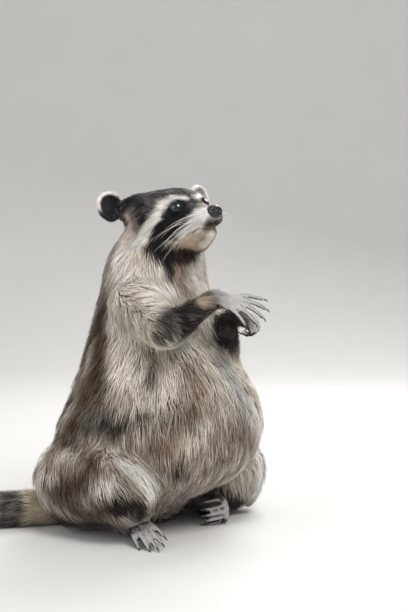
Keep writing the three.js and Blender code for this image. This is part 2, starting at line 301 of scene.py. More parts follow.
def nearest_nodes(points):
    """For each point, the index in FORM of the node whose surface is nearest."""
    corners, faces, owners = [], [], []
    for index, node in enumerate(FORM):
        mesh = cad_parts[node].data
        mesh.calc_loop_triangles()
        base = len(corners)
        corners += [vertex.co.copy() for vertex in mesh.vertices]
        for triangle in mesh.loop_triangles:
            faces.append([base + corner for corner in triangle.vertices])
            owners.append(index)
    tree = BVHTree.FromPolygons(corners, faces)
    return np.array([owners[tree.find_nearest(point)[2]] for point in points.tolist()])


# ---------------------------------------------------------------- the coat's depth and lie

# How deep the coat is over each part, in millimetres.
DEPTH = {
    "head": 5,
    "lower_jaw": 3,
    "ear": 0.4,
    "neck": 14,
    "chest": 17,
    "abdomen": 18,
    "upper_arm": 11,
    "forearm": 5,
    "thigh": 15,
    "shin": 8,
    "hand": 0.5,
    "foot": 0.7,
    "tail": 13,
    "nose": 0.9,
    "eye": 0.8,
}


PARTING = np.array([0, -84, -11])  # the hair of the head streams from here, before the nose


def kind_of(node):
    """The key under which a node stands in the tables of parts."""
    bare = node.removeprefix("right_").removeprefix("left_")
    return "tail" if bare.startswith("tail") else bare


def among(owners, nodes):
    """Whether each owner is one of the nodes."""
    return np.isin(owners, [FORM.index(node) for node in nodes])


def coat_depth(owners, points):
    """The depth of the coat at each point of the outer form, in metres."""
    table = np.array([DEPTH[kind_of(node)] for node in FORM], float)
    depth = table[owners]
    x, y, z = in_head(points).T
    on_head = among(owners, HEAD)
    face = 1.0 + 4.2 * step(y, -54, -2) + 2.5 * step(y, 0, 30)
    ruff = 7 * step(np.abs(x), 36, 56) * step(y, -40, -12) * step(-z, -12, 14)
    depth = np.where(on_head, face + ruff, depth)
    return depth * MM


def lie_towards():
    """For each part, the way its hair points: from the middle of one node to another's."""
    pairs = {"neck": ("head", "chest"), "chest": ("neck", "abdomen")}
    for side in SIDES:
        for limb, heel in (("upper_arm", "forearm", "hand"), 1), (("thigh", "shin", "foot"), 2):
            nodes = [f"{side}_{length}" for length in limb]
            upper, lower, paw = nodes
            pairs[upper] = (upper, lower)
            pairs[lower] = (upper, paw)
            pairs[paw] = (nodes[heel], f"{paw}_claw_3")
    chain = ["abdomen"] + TAIL
    for index, node in enumerate(TAIL):
        pairs[node] = (chain[index], chain[min(index + 2, len(TAIL))])
    ways = {node: np.array(centre(last) - centre(first)) for node, (first, last) in pairs.items()}
    down = np.array([0, 0, -1.0])
    for node in TRUNK:
        ways[node] = down
    for side in SIDES:
        for node in (f"{side}_thigh", f"{side}_upper_arm"):
            ways[node] = unit(ways[node]) + 0.8 * down
    for side, sign in SIDES.items():
        ways[f"{side}_ear"] = HEAD_TURN @ mirrored(EAR["tip"], sign)
    return ways


def coat_lie(surface, owners, normals):
    """The way the hair points at each vertex, along the skin."""
    ways = lie_towards()
    table = np.array([ways.get(node, (0, 0, 0)) for node in FORM], float)
    lie = unit(table[owners])
    local = in_head(surface.points)
    aside, ahead = np.abs(local[:, 0]), local[:, 1]
    back = unit(local - PARTING)
    back[:, 1] += 0.35 * step(ahead, -32, 20)
    back[:, 2] -= 0.9 * step(aside, 25, 55) * step(ahead, -42, -6)
    on_head = among(owners, HEAD + BARE)
    lie[on_head] = unit(back[on_head]) @ HEAD_TURN.T
    for _ in range(4):
        lie = surface.smoothed(lie, 8)
        lie -= normals * (lie * normals).sum(1, keepdims=True)
        lie = unit(lie)
    return lie


# ---------------------------------------------------------------- markings


def colour(code):
    """A linear colour from a six-digit hexadecimal one."""
    shares = [int(code[start : start + 2], 16) / 255 for start in (0, 2, 4)]
    return tuple(s / 12.92 if s < 0.04045 else ((s + 0.055) / 1.055) ** 2.4 for s in shares)


class RaccoonColours(PropertyGroup):
    """The colours of the coat and of what is bare."""

    def hue(name, description, code):
        return FloatVectorProperty(
            name=name,
            description=description,
            default=colour(code),
            subtype="COLOR",
            size=3,
            min=0,
            max=1,
        )

    black: hue("Black", "Mask, inner ears and the gaps between toes", "0f0e11")
    white: hue("White", "Brow stripe, muzzle and ear rims", "ebe7e1")
    cream: hue("Cream", "Neck, shoulders and flanks", "d3c9bb")
    grizzle: hue("Grizzle", "Thighs and lower back", "9b8e82")
    crown: hue("Crown", "Top of the head", "312e32")
    brown: hue("Brown", "Belly and chest", "8b7563")
    dark: hue("Dark brown", "Forearms, throat and ankles", "231913")
    umber: hue("Umber", "Back, hips and folds of the flanks", "443325")
    tan: hue("Tan", "Chin and ear base", "b7a28b")
    olive: hue("Olive", "Pale tail rings", "c9b99f")
    pale: hue("Pale grey", "Backs of hands and feet", "b4b1af")
    ring: hue("Tail ring", "Dark tail rings", "2a231e")
    # Also the colour of the painted shade in the paws' hollows and between the toes.
    pad: hue("Pad", "Bare skin of the palms and soles", "2c2426")


# The coat's colour over each part, before the markings, and how grizzled it is.
GROUND = {
    "head": ("crown", 0.3),
    "lower_jaw": ("tan", 0.2),
    "ear": ("white", 0.1),
    "neck": ("cream", 0.7),
    "chest": ("cream", 1.0),
    "abdomen": ("grizzle", 1.0),
    "upper_arm": ("cream", 1.0),
    "forearm": ("dark", 0.5),
    "hand": ("pale", 0.1),
    "thigh": ("grizzle", 1.0),
    "shin": ("grizzle", 0.8),
    "foot": ("pale", 0.1),
    "tail": ("olive", 0.5),
    "nose": ("white", 0.0),
    "eye": ("black", 0.0),
}

Stroke = namedtuple("Stroke", "colour grizzle edge line")
# Markings of the face, in the order of painting, on both sides of the head's own frame. Each
# follows a line of places, with the marking's half-width there.
FACE_STROKES = [
    Stroke("cream", 0.4, 5, [((62, 26, 4), 8), ((63, 12, -14), 9), ((62, 8, -30), 9)]),
    Stroke("black", 0.1, 3, [((48, 16, 40), 10), ((54, 20, 26), 10), ((58, 22, 14), 8)]),
    Stroke("tan", 0.4, 3, [((56, 11, 20), 4), ((60, 9, 5), 4.5)]),
    Stroke("cream", 0.3, 3, [((60, 10, 3), 3.5), ((61, 18, -9), 6)]),
    Stroke("black", 0.2, 4, [((44, -4, 33), 6), ((54, -8, 16), 5.5), ((59, -9, -2), 4.5)]),
    Stroke("white", 0.0, 2.5, [((0, -77, -7), 8), ((14, -68, -11), 10), ((16, -59, -18), 9)]),
    Stroke("white", 0.0, 2.5, [((16, -59, -18), 9), ((18, -43, -22), 6.5), ((24, -31, -27), 4)]),
    Stroke("tan", 0.2, 3, [((11, -57, -32), 6), ((18, -40, -31), 6.5), ((26, -25, -32), 5)]),
    Stroke("white", 0.0, 3, [((0, -62, -36), 6), ((0, -46, -42), 8)]),
    Stroke("crown", 0.2, 3, [((0, -30, 31), 9), ((0, -44, 19), 6), ((0, -55, 8), 3)]),
    Stroke("tan", 0.0, 2.5, [((0, -58, 5), 4), ((0, -70, -2), 4.5)]),
    Stroke("white", 0.0, 2, [((7, -44, 19), 4), ((22, -36, 24), 4.5), ((34, -29, 17), 5.5)]),
    Stroke("white", 0.0, 2.5, [((34, -29, 17), 5.5), ((45, -23, 4), 7), ((53, -14, -7), 8)]),
    Stroke("white", 0.1, 3, [((53, -14, -7), 8), ((58, -2, -16), 8.5), ((63, 7, -24), 9)]),
    Stroke("black", 0.0, 2, [((20, -43, 10), 11), ((18, -50, -1), 7.5), ((25, -43, -8), 8.5)]),
    Stroke("black", 0.0, 2, [((24, -40, 9), 10.5), ((31, -35, -5), 13), ((38, -24, -15), 13)]),
    Stroke("black", 0.0, 2.5, [((38, -24, -15), 13), ((44, -14, -22), 11)]),
    Stroke("crown", 0.0, 1.5, [((0, -77, -22), 2.2), ((6, -72, -24), 1.6)]),
    Stroke("dark", 0.1, 4, [((0, -21, -48), 10), ((16, -22, -47), 10), ((34, -20, -43), 9)]),
    Stroke("black", 0.0, 4, [((54, -11, -32), 7), ((40, -20, -42), 11), ((34, -22, -56), 9)]),
]
# The dark back, the same on both sides, in the row's frame.
BACK_STROKES = [
    Stroke("umber", 0.7, 22, [((50 * s, 50, 330), 30), ((66 * s, 62, 250), 54), ((60 * s, 92, 150), 62)])
    for s in SIDES.values()
]
# Markings of the body, in the row's frame, and a painted shadow under the right thigh.
BODY_STROKES = BACK_STROKES + [
    Stroke("umber", 0.15, 10, [((-72, 20, 275), 15), ((-90, 10, 228), 19), ((-103, 6, 184), 20)]),
    Stroke("umber", 0.3, 12, [((-103, 6, 184), 20), ((-113, 10, 158), 22), ((-122, 26, 126), 22)]),
    Stroke("umber", 0.5, 12, [((110, 0, 190), 15), ((118, -10, 150), 20)]),
    Stroke("white", 0.5, 12, [((-58, 0, 326), 13), ((-66, -18, 302), 14), ((-80, -26, 276), 12)]),
    Stroke("umber", 0.2, 12, [((-112, -8, 168), 15), ((-120, -10, 142), 18)]),
    Stroke("dark", 0.3, 8, [((-121, -10, 140), 13), ((-114, -48, 138), 11), ((-103, -72, 146), 8)]),
    Stroke("brown", 0.5, 20, [((-46, -106, 204), 16), ((-56, -120, 150), 30), ((-76, -106, 110), 28)]),
    Stroke("umber", 0.6, 13, [((-92, -96, 141), 12), ((-68, -114, 158), 10)]),
    Stroke("cream", 0.6, 12, [((-50, -132, 136), 12), ((-66, -118, 112), 12)]),
    Stroke("dark", 0.5, 7, [((-72, -102, 86), 6), ((-62, -100, 60), 9)]),
    Stroke("pale", 0.4, 12, [((2, -114, 206), 12), ((4, -130, 176), 15), ((26, -142, 136), 15)]),
    Stroke("white", 0.4, 12, [((26, -142, 136), 15), ((74, -122, 96), 14)]),
    Stroke("brown", 0.3, 7, [((-14, -68, 327), 11), ((-22, -70, 306), 12), ((-14, -80, 286), 12)]),
    Stroke("white", 0.2, 5, [((24, -65, 326), 8), ((11, -71, 306), 8), ((17, -75, 286), 9)]),
    Stroke("dark", 0.1, 5, [((-36, -60, 318), 9), ((-34, -63, 306), 6)]),
    Stroke("white", 0.3, 6, [((-53, -52, 296), 8), ((-40, -66, 290), 8)]),
    Stroke("umber", 0.5, 6, [((-80, -56, 222), 6), ((-78, -71, 204), 9), ((-87, -73, 184), 10)]),
    Stroke("cream", 0.3, 6, [((-68, -90, 200), 7), ((-77, -94, 172), 7)]),
    Stroke("white", 0.2, 5, [((-48, -90, 216), 5), ((-28, -88, 240), 5)]),
    Stroke("umber", 0.2, 9, [((-139, -28, 90), 14), ((-146, -10, 66), 18), ((-142, 20, 46), 16)]),
    Stroke("umber", 0.2, 9, [((-142, 20, 46), 16), ((-134, -14, 30), 15), ((-132, -44, 34), 9)]),
    Stroke("white", 0.0, 7, [((-121, -66, 98), 8), ((-109, -85, 79), 12), ((-94, -88, 60), 13)]),
    Stroke("white", 0.4, 6, [((-132, -68, 70), 7), ((-144, -42, 60), 8)]),
    Stroke("cream", 0.2, 12, [((58, -82, 66), 22), ((86, -70, 50), 22)]),
    Stroke("white", 0.0, 10, [((126, -82, 92), 13), ((124, -80, 58), 18), ((121, -72, 28), 14)]),
    # Painted shadow under the right thigh, along the floor.
    Stroke("dark", 0.1, 8, [((-122, 50, 12), 14), ((-114, 0, 8), 18), ((-112, -46, 12), 14)]),
    Stroke("dark", 0.0, 4, [((-134, -56, 36), 14), ((-126, -76, 43), 15), ((-106, -82, 36), 14)]),
    Stroke("dark", 0.1, 5, [((94, -62, 18), 14), ((78, -62, 22), 12)]),
    Stroke("dark", 0.3, 8, [((-98, -100, 236), 14), ((-88, -110, 250), 22), ((-62, -112, 262), 24)]),
    Stroke("dark", 0.2, 6, [((56, -88, 232), 20), ((30, -96, 238), 26), ((22, -106, 252), 20)]),
    Stroke("tan", 0.4, 6, [((-48, -118, 277), 6), ((-36, -118, 278), 9)]),
    Stroke("pad", 0.0, 5, [((12, -114, 254), 9), ((19, -128, 246), 9)]),
]
TAIL_RINGS = (17, 90, 163)  # the middles of the dark rings, from the tail's root
TAIL_TIP = 218  # where its dark tip starts
TAIL_LEAD = 32.0  # how far before the root its middle line starts
# The ears in the head's own frame, on the left side.
EAR = {"at": (64, 25, 36), "tip": (0.66, 0.16, 0.74), "opening": (0.4, -0.9, 0.0)}
EAR_SIZE = np.array([18, 21, 10])
EAR_FILL = {"right": "black", "left": "white"}  # the hair in the bowl of each ear


def mirrored(place, sign):
    """A place or a way on the head's left side, on the side of that sign."""
    return np.array(place, float) * np.array([sign, 1, 1])


def ear_places(local, sign):
    """Places in an ear's own frame, as shares of its size: across it, towards its tip and
    out of its opening; and the way it opens."""
    tip = unit(mirrored(EAR["tip"], sign))
    opening = mirrored(EAR["opening"], sign)
    opening = unit(opening - tip * (tip @ opening))
    axes = np.stack([np.cross(tip, opening), tip, opening])
    return (local - mirrored(EAR["at"], sign)) @ axes.T / EAR_SIZE, opening


def along_tail(points):
    """How far along the tail points lie from its root, in millimetres."""
    stops = np.array([centre(node)[:2] for node in TAIL]) / MM
    stops = np.vstack([2 * stops[0] - stops[1], stops, 2 * stops[-1] - stops[-2]])
    best = np.full(len(points), np.inf)
    travel = np.zeros(len(points))
    start = -TAIL_LEAD
    for first, last in zip(stops, stops[1:]):
        along = last - first
        size = np.linalg.norm(along)
        t = np.clip((points[:, :2] - first) @ along / size**2, 0, 1)
        away = np.linalg.norm(points[:, :2] - first - t[:, None] * along, axis=1)
        travel = np.where(away < best, start + t * size, travel)
        best = np.minimum(best, away)
        start += size
    return travel


def painted(colours, grizzle, points, strokes, palette):
    """Paints strokes over the colours and the grizzle of points, both in millimetres."""
    for stroke in strokes:
        share = np.zeros(len(points))
        for (start, thick), (end, thin) in zip(stroke.line, stroke.line[1:]):
            start, end = np.array(start, float), np.array(end, float)
            along = end - start
            t = np.clip(((points - start) @ along) / (along @ along), 0, 1)
            away = np.linalg.norm(points - start - t[:, None] * along, axis=1)
            size = thick + (thin - thick) * t
            share = np.maximum(share, 1 - step(away, size - stroke.edge, size + stroke.edge))
        colours = blend(colours, palette[stroke.colour], share)
        grizzle = blend(grizzle, stroke.grizzle, share)
    return colours, grizzle


def lip_line(surface, owners):
    """1 along the line where the lips meet, and 0 away from it."""
    jaw = surface.smoothed(among(owners, ["lower_jaw"]), 6)
    head = surface.smoothed(among(owners, ["head"]), 6)
    ahead = step(-in_head(surface.points)[:, 1], 35, 41)
    return np.exp(-(((jaw - 0.5) / 0.25) ** 2)) * step(head, 0.2, 0.35) * ahead


def ear_tint(side, sign, local, normals, palette):
    """An ear's colours: dark behind, filled with hair in its bowl, and with a white rim."""
    place, opening = ear_places(local, sign)
    inside = step((normals @ HEAD_TURN) @ opening, -0.1, 0.3)
    out = np.hypot(place[:, 0], place[:, 1])
    upper = step(place[:, 1:2], -0.1, 0.6)
    bowl = blend(palette[EAR_FILL[side]], palette["crown"], upper * 0.6)
    tint = blend(palette["crown"], bowl, inside)
    facing = (0.86 * place[:, 1] - 0.5 * sign * place[:, 0]) / np.maximum(out, 0.1)
    return blend(tint, palette["white"], step(out, 0.7, 0.82) * step(facing, -0.2, 0.3))


def tail_rings(points):
    """1 on the tail's dark rings and its tip, and 0 on the pale ones."""
    rings = np.zeros(len(points))
    travel = along_tail(points) + 3 * wander(points, 20, seed=9)[:, 0]
    for ring in TAIL_RINGS:
        rings = np.maximum(rings, 1 - step(np.abs(travel - ring), 10, 20))
    return np.maximum(rings, step(travel, TAIL_TIP - 8, TAIL_TIP + 8))


def pad_and_toe_shade_share(surface, owners, normals):
    """1 on the bare pads under the paws and on painted shade in their hollows and between the toes, and
    0 on their backs.
    """
    points = surface.points / MM
    # Painted shade where the paws curve inwards.
    hollow = ((surface.smoothed(points, 10) - points) * normals).sum(1)
    # Bare pads where the skin faces down, and the painted shade of the hollows.
    under = np.maximum(step(-normals[:, 2], 0.25, 0.6), step(hollow, 0.05, 0.5))
    for paw in PAWS:
        claws = [np.array(centre(claw)) for claw in claws_of(paw)]
        across = unit(claws[4] - claws[0])
        reach = np.min([np.linalg.norm(surface.points - claw, axis=1) for claw in claws], axis=0)
        digits = among(owners, [paw]) * (1 - step(reach, 24 * MM, 34 * MM))
        # Painted shade on the sides of the toes that face each other.
        under = np.maximum(under, step(np.abs(normals @ across), 0.5, 0.85) * digits)
    return under


def markings(surface, owners, normals, depth, palette):
    """The colour and grizzle of the coat at each vertex of the skin."""
    names = [kind_of(node) for node in FORM]
    colours = np.array([palette[GROUND[name][0]] for name in names])[owners]
    grizzle = np.array([GROUND[name][1] for name in names])[owners]
    colours = surface.smoothed(colours, 80)
    grizzle = surface.smoothed(grizzle, 80)
    points = surface.points / MM
    outer = surface.points + normals * depth[:, None]
    strayed = outer / MM + 5 * wander(points, 40, seed=5)
    colours, grizzle = painted(colours, grizzle, strayed, BODY_STROKES, palette)
    local = in_head(surface.points)
    strayed = in_head(outer) + 1.2 * wander(local, 14, seed=3)
    strayed[:, 0] = np.abs(strayed[:, 0])
    near = among(owners, HEAD + BARE + ["neck"])
    face = painted(colours[near], grizzle[near], strayed[near], FACE_STROKES, palette)
    colours[near], grizzle[near] = face
    for side, sign in SIDES.items():
        share = surface.smoothed(among(owners, [f"{side}_ear"]), 3)
        colours = blend(colours, ear_tint(side, sign, local, normals, palette), share)
        grizzle = blend(grizzle, 0.1, share)
    rings = tail_rings(points) * surface.smoothed(among(owners, TAIL), 3)
    colours = blend(colours, palette["ring"], rings)
    grizzle = blend(grizzle, 0.35, rings)
    # Bare pads, with painted shade in the paws' hollows and between the toes, in the pad colour.
    pads_and_toe_shade = surface.smoothed(among(owners, PAWS), 3) * pad_and_toe_shade_share(surface, owners, normals)
    colours = blend(colours, palette["pad"], pads_and_toe_shade)
    dark = np.maximum(surface.smoothed(among(owners, BARE), 2), lip_line(surface, owners))
    colours = blend(colours, palette["black"], step(dark, 0.25, 0.7))
    return colours, grizzle


# ---------------------------------------------------------------- the skin

GROWN = 0.3 * MM  # how far solids are grown, so that the gaps between them close
FORM_STEP = 1.3 * MM  # the size of the faces of the form that the skin lies under
DEPTH_ROUNDS = 280  # how often the depth is smoothed, so that no step shows between parts
EYE_REACHES = (17, 12)  # how far from an eye, in millimetres, the skin is made finer, and again
LIP_DEEP = 0.9  # how deep the line of the lips is, in millimetres
# The opening of the lids and their rim, in millimetres. It lies further from the nose than the
# eye by "shift".
LID = {"long": 10.8, "shift": 2.6, "above": 8.2, "below": 7.4, "thick": 0.7, "roll": 0.6}


def refined(points, faces, chosen):
    """Splits the chosen triangles in four, and their neighbours to match."""
    count = len(points)
    corners = np.stack([faces, np.roll(faces, -1, axis=1)], axis=2)
    keys = corners.min(axis=2) * count + corners.max(axis=2)
    marked = np.unique(keys[chosen])
    places = np.searchsorted(marked, keys).clip(max=len(marked) - 1)
    hit = marked[places] == keys
    middles = (points[marked // count] + points[marked % count]) / 2
    middle = places + count
    total = hit.sum(axis=1)
    parts = [faces[total == 0]]
    turn = np.where(total == 1, hit.argmax(axis=1), (hit.argmin(axis=1) + 1) % 3)
    order = (turn[:, None] + np.arange(3)) % 3
    f = np.take_along_axis(faces, order, axis=1)
    m = np.take_along_axis(middle, order, axis=1)
    a, b, c = f.T
    p, q, r = m.T

    def add(which, *triangle):
        parts.append(np.stack([corner[which] for corner in triangle], axis=1))

    one, two, three = total == 1, total == 2, total == 3
    add(one, a, p, c)
    add(one, p, b, c)
    add(two, a, p, c)
    add(two, p, q, c)
    add(two, p, b, q)
    add(three, a, p, r)
    add(three, p, b, q)
    add(three, r, q, c)
    add(three, p, q, r)
    return np.concatenate([points, middles]), np.concatenate(parts)


def eye_axes(sign):
    """An eye's own axes in the row's frame: towards the nose, up, and out of the head."""
    inward = HEAD_TURN @ unit(np.array([-0.72 * sign, -0.64, -0.28]))
    outward = HEAD_TURN @ unit(np.array([0.64 * sign, -0.75, 0.14]))
    outward = unit(outward - inward * (inward @ outward))
    return inward, np.cross(outward, inward) * -sign, outward


def eye_size(side):
    """The place and the radius of an eye: the solid one, swollen a little to fill its lids."""
    low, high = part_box(f"{side}_eye")
    radius = (high - low).length / (2 * math.sqrt(3))
    swell = 0.12 * radius
    return np.array((low + high) / 2) - 0.7 * swell * eye_axes(SIDES[side])[2], radius + swell


def with_lids(points):
    """Draws the skin round each eye into lids that hug the ball, and opens them."""
    for side, sign in SIDES.items():
        place, radius = eye_size(side)
        inward, up, outward = eye_axes(sign)
        away = points - place
        distance = np.linalg.norm(away, axis=1)
        way = unit(away)
        across = np.arctan2(way @ inward, way @ outward) * radius / MM + LID["shift"]
        height = np.arcsin(np.clip(way @ up, -1, 1)) * radius / MM
        bend = np.clip(1 - (across / LID["long"]) ** 2, 0, 1)
        margin = np.where(height > 0, LID["above"], LID["below"]) * bend**0.7
        beyond = np.hypot(np.maximum(np.abs(across) - LID["long"], 0), height)
        edge = np.where(bend > 0, np.abs(height) - margin, beyond)
        lid = LID["thick"] + LID["roll"] * np.exp(-(((edge - 1.4) / 1.1) ** 2))
        lid -= 0.5 * np.exp(-(((edge - 3.6) / 0.9) ** 2))
        aim = radius + blend(-1.8, lid, step(edge, -0.45, 0.2)) * MM
        share = (1 - step(edge, 2.5, 8)) * step(way @ outward, 0.1, 0.3)
        share *= 1 - step(distance, 15 * MM, 18 * MM)
        points = points + way * ((aim - distance) * share)[:, None]
    return points


class RACCOON_OT_skin(Operator):
    """Casts one skin inside the solids of flesh, under the coat, with lids round the eyes"""

    bl_idname = "raccoon.skin"
    bl_label = "Skin"

    def execute(self, context):
        settings = context.scene.raccoon_coat
        palette = {
            name: np.array(getattr(context.scene.raccoon_colours, name)[:])
            for name in RaccoonColours.__annotations__
        }
        outer = fused("outer", FORM, GROWN, FORM_STEP)
        form = Surface(outer)
        form.relax(6)
        owners = nearest_nodes(form.points)
        ways = unit(form.smoothed(form.normals(), 10))
        depth = form.smoothed(coat_depth(owners, form.points), DEPTH_ROUNDS) * settings.depth
        form.points -= ways * depth[:, None]
        form.write()
        with_modifier(
            outer, "REMESH", mode="VOXEL", voxel_size=settings.skin_step, adaptivity=0.05
        )
        keep_largest(outer)
        rough = Surface(outer)
        rough.relax(2)
        points, faces = rough.points, rough.faces
        for reach in EYE_REACHES:
            middles = points[faces].mean(axis=1)
            near = np.zeros(len(faces), bool)
            for side in SIDES:
                near |= np.linalg.norm(middles - eye_size(side)[0], axis=1) < reach * MM
            points, faces = refined(points, faces, near)
        points = with_lids(points)
        give_mesh(outer, mesh_of("skin", points, faces))
        outer.name = "skin"

        skin = Surface(outer)
        nearest = nearest_of(form.points, skin.points)
        owners = owners[nearest]
        normals = skin.normals()
        skin.points -= normals * (lip_line(skin, owners) * LIP_DEEP * MM)[:, None]
        skin.write()
        normals = skin.normals()
        smooth = unit(skin.smoothed(normals, 12))
        deep = skin.smoothed(depth[nearest], 10)
        colours, grizzle = markings(skin, owners, smooth, deep, palette)
        lie = coat_lie(skin, owners, smooth)
        put(outer, "part", "INT", owners)
        put(outer, "depth", "FLOAT", deep)
        put(outer, "grizzle", "FLOAT", grizzle)
        put(outer, "lie", "FLOAT_VECTOR", lie)
        put(outer, "outward", "FLOAT_VECTOR", smooth)
        put(outer, "marking", "FLOAT_COLOR", np.column_stack([colours, np.ones(len(colours))]))
        outer.data.materials.append(skin_material())
        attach(outer, "root")
        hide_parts(*FLESH)
        return {"FINISHED"}


ATTRIBUTE_FIELDS = {"FLOAT_VECTOR": "vector", "FLOAT_COLOR": "color"}


def put(thing, name, kind, values):
    """Stores a value for each vertex on an object's mesh."""
    attribute = thing.data.attributes.new(name, kind, "POINT")
    field = ATTRIBUTE_FIELDS.get(kind, "value")
    dtype = np.int32 if kind == "INT" else np.float32
    attribute.data.foreach_set(field, np.ascontiguousarray(values, dtype).ravel())


def got(thing, name, width=1):
    """Reads back what put() stored."""
    attribute = thing.data.attributes[name]
    field = ATTRIBUTE_FIELDS.get(attribute.data_type, "value")
    dtype = np.int32 if attribute.data_type == "INT" else np.float32
    values = fetched(attribute.data, field, width, dtype)
    return values if width > 1 else values[:, 0]


# ---------------------------------------------------------------- finishes


class Wire:
    """An output of a material's nodes; sums with it add Math nodes."""

    def __init__(self, finish, socket):
        self.finish = finish
        self.socket = socket

    def math(self, operation, *values):
        return self.finish.node("ShaderNodeMath", {"operation": operation}, dict(enumerate(values)))

    def __add__(self, other):
        return self.math("ADD", self, other)

    def __radd__(self, other):
        return self.math("ADD", other, self)

    def __sub__(self, other):
        return self.math("SUBTRACT", self, other)

    def __rsub__(self, other):
        return self.math("SUBTRACT", other, self)

    def __mul__(self, other):
        return self.math("MULTIPLY", self, other)

    def __rmul__(self, other):
        return self.math("MULTIPLY", other, self)

    def ramp(self, start, end, low=0.0, high=1.0):
        """A smooth rise from low to high as this goes from start to end."""
        values = {0: self, 1: start, 2: end, 3: low, 4: high}
        return self.finish.node("ShaderNodeMapRange", {"interpolation_type": "SMOOTHSTEP"}, values)


class Finish:
    """A material in the making. Sockets named here have one value all over."""

    def __init__(self, name, **sockets):
        self.material = bpy.data.materials.new(name)
        self.material.use_nodes = True
        self.tree = self.material.node_tree
        self.shader = self.tree.nodes["Principled BSDF"]
        for socket, value in sockets.items():
            self.shader.inputs[socket.replace("_", " ")].default_value = value

    def node(self, kind, settings=None, values=None, output=0):
        """Adds a node with its settings and the values or wires of its sockets."""
        node = self.tree.nodes.new(kind)
        for name, value in (settings or {}).items():
            setattr(node, name, value)
        for key, value in (values or {}).items():
            if isinstance(value, Wire):
                self.tree.links.new(value.socket, node.inputs[key])
            else:
                node.inputs[key].default_value = value
        return Wire(self, node.outputs[output])

    def feed(self, socket, wire):
        self.tree.links.new(wire.socket, self.shader.inputs[socket])

    def stored(self, name, output="Fac"):
        """What put() stored on the mesh under that name."""
        return self.node("ShaderNodeAttribute", {"attribute_name": name}, output=output)

    def noise(self, size, detail):
        """Noise with grains of that size in metres."""
        place = self.node("ShaderNodeTexCoord", output="Object")
        values = {"Vector": place, "Scale": 1 / size, "Detail": detail, "Roughness": 0.6}
        return self.node("ShaderNodeTexNoise", None, values)

    def mix(self, first, second, share, way="MIX"):
        """A colour between two."""
        values = {"Factor": share, 6: self.full(first), 7: self.full(second)}
        return self.node("ShaderNodeMix", {"data_type": "RGBA", "blend_type": way}, values, 2)

    def scaled(self, tint, share):
        """A colour made brighter or darker."""
        return self.node("ShaderNodeVectorMath", {"operation": "SCALE"}, {0: tint, "Scale": share})

    @staticmethod
    def full(tint):
        """A colour with its fourth number, or a wire as it is."""
        return tint if isinstance(tint, Wire) else (*tint[:3], 1.0)

    def bump(self, height, depth):
        """Feeds the shader's normal with a relief of that depth in metres."""
        values = {"Strength": 1.0, "Distance": depth, "Height": height}
        self.feed("Normal", self.node("ShaderNodeBump", None, values))


def skin_material():
    """Short hair on bare-looking skin, and a dark undercoat where the coat is deep."""
    finish = Finish("skin_and_undercoat", Roughness=0.7, Sheen_Weight=0.04)
    marking = finish.stored("marking", "Color")
    deep = finish.stored("depth").ramp(1.5 * MM, 7 * MM)
    grain = finish.noise(1.2 * MM, 4)
    fine = finish.noise(0.5 * MM, 2)
    shaded = finish.mix(marking, (0.45, 0.40, 0.36), deep, "MULTIPLY")
    finish.feed("Base Color", finish.scaled(shaded, grain.ramp(0.2, 0.8, 0.72, 1.2)))
    finish.feed("Roughness", grain.ramp(0.3, 0.7, 0.6, 0.82))
    finish.bump(grain * 0.6 + fine * 0.4, 0.5 * MM)
    return finish.material


def coat_material():
    """Grizzled hair: dark at the root, paler along it, and tipped dark or pale."""
    finish = Finish("coat_hair", Roughness=0.6, Sheen_Weight=0.04, Specular_IOR_Level=0.2)
    marking = finish.stored("marking", "Color")
    along = finish.stored("along")
    tone = finish.stored("tone")
    grizzle = finish.stored("grizzle")
    pale = finish.mix(marking, (0.82, 0.77, 0.70), 0.45)
    dark = finish.mix(marking, (0.20, 0.16, 0.13), 1.0, "MULTIPLY")
    root = finish.mix(marking, (0.40, 0.34, 0.30), 0.15 + grizzle * 0.6, "MULTIPLY")
    hair = finish.mix(root, marking, along.ramp(0.05, 0.45))
    band = along.ramp(0.3, 0.55) * tone.ramp(0.35, 0.85)
    hair = finish.mix(hair, pale, band * grizzle)
    tip = along.ramp(0.55, 0.9) * (1 - tone.ramp(0.15, 0.5))
    hair = finish.mix(hair, dark, tip * grizzle * 0.8)
    bright = 0.85 + tone * 0.4
    finish.feed("Base Color", finish.scaled(hair, bright))
    finish.feed("Roughness", finish.noise(3 * MM, 2).ramp(0.3, 0.7, 0.5, 0.7))
    return finish.material


# ---------------------------------------------------------------- the coat

Coat = namedtuple("Coat", "kinds where tufts rings")


def front(points):
    """Where a point lies before the middle of the trunk."""
    return points[:, 1] < 0.0


def behind(points):
    return ~front(points)


def fore_face(points):
    """The muzzle, the brows and the skin round the eyes."""
    return in_head(points)[:, 1] < -30


def hind_head(points):
    return ~fore_face(points)


def right_side(points):
    return points[:, 0] < 0


def left_side(points):
    return ~right_side(points)


COATS = {
    "coat_face": Coat(("head", "lower_jaw"), fore_face, 15500, 2),
    "coat_crown": Coat(("head", "lower_jaw"), hind_head, 14500, 2),
    "coat_ears": Coat(("ear",), None, 5000, 2),
    "coat_neck": Coat(("neck",), None, 7500, 3),
    "coat_chest": Coat(("chest",), front, 9000, 3),
    "coat_back": Coat(("chest",), behind, 6000, 3),
    "coat_belly": Coat(("abdomen",), front, 9000, 3),
    "coat_rump": Coat(("abdomen",), behind, 5500, 3),
    "coat_arms": Coat(("upper_arm", "forearm"), None, 8500, 3),
    "coat_right_leg": Coat(("thigh", "shin"), right_side, 9000, 3),
    "coat_left_leg": Coat(("thigh", "shin"), left_side, 7500, 3),
    "coat_paws": Coat(("hand", "foot"), None, 6500, 2),
    "coat_tail": Coat(("tail",), None, 8500, 3),
}
PATCH = 0.003  # the size of a tuft's patch on the unwrapped skin
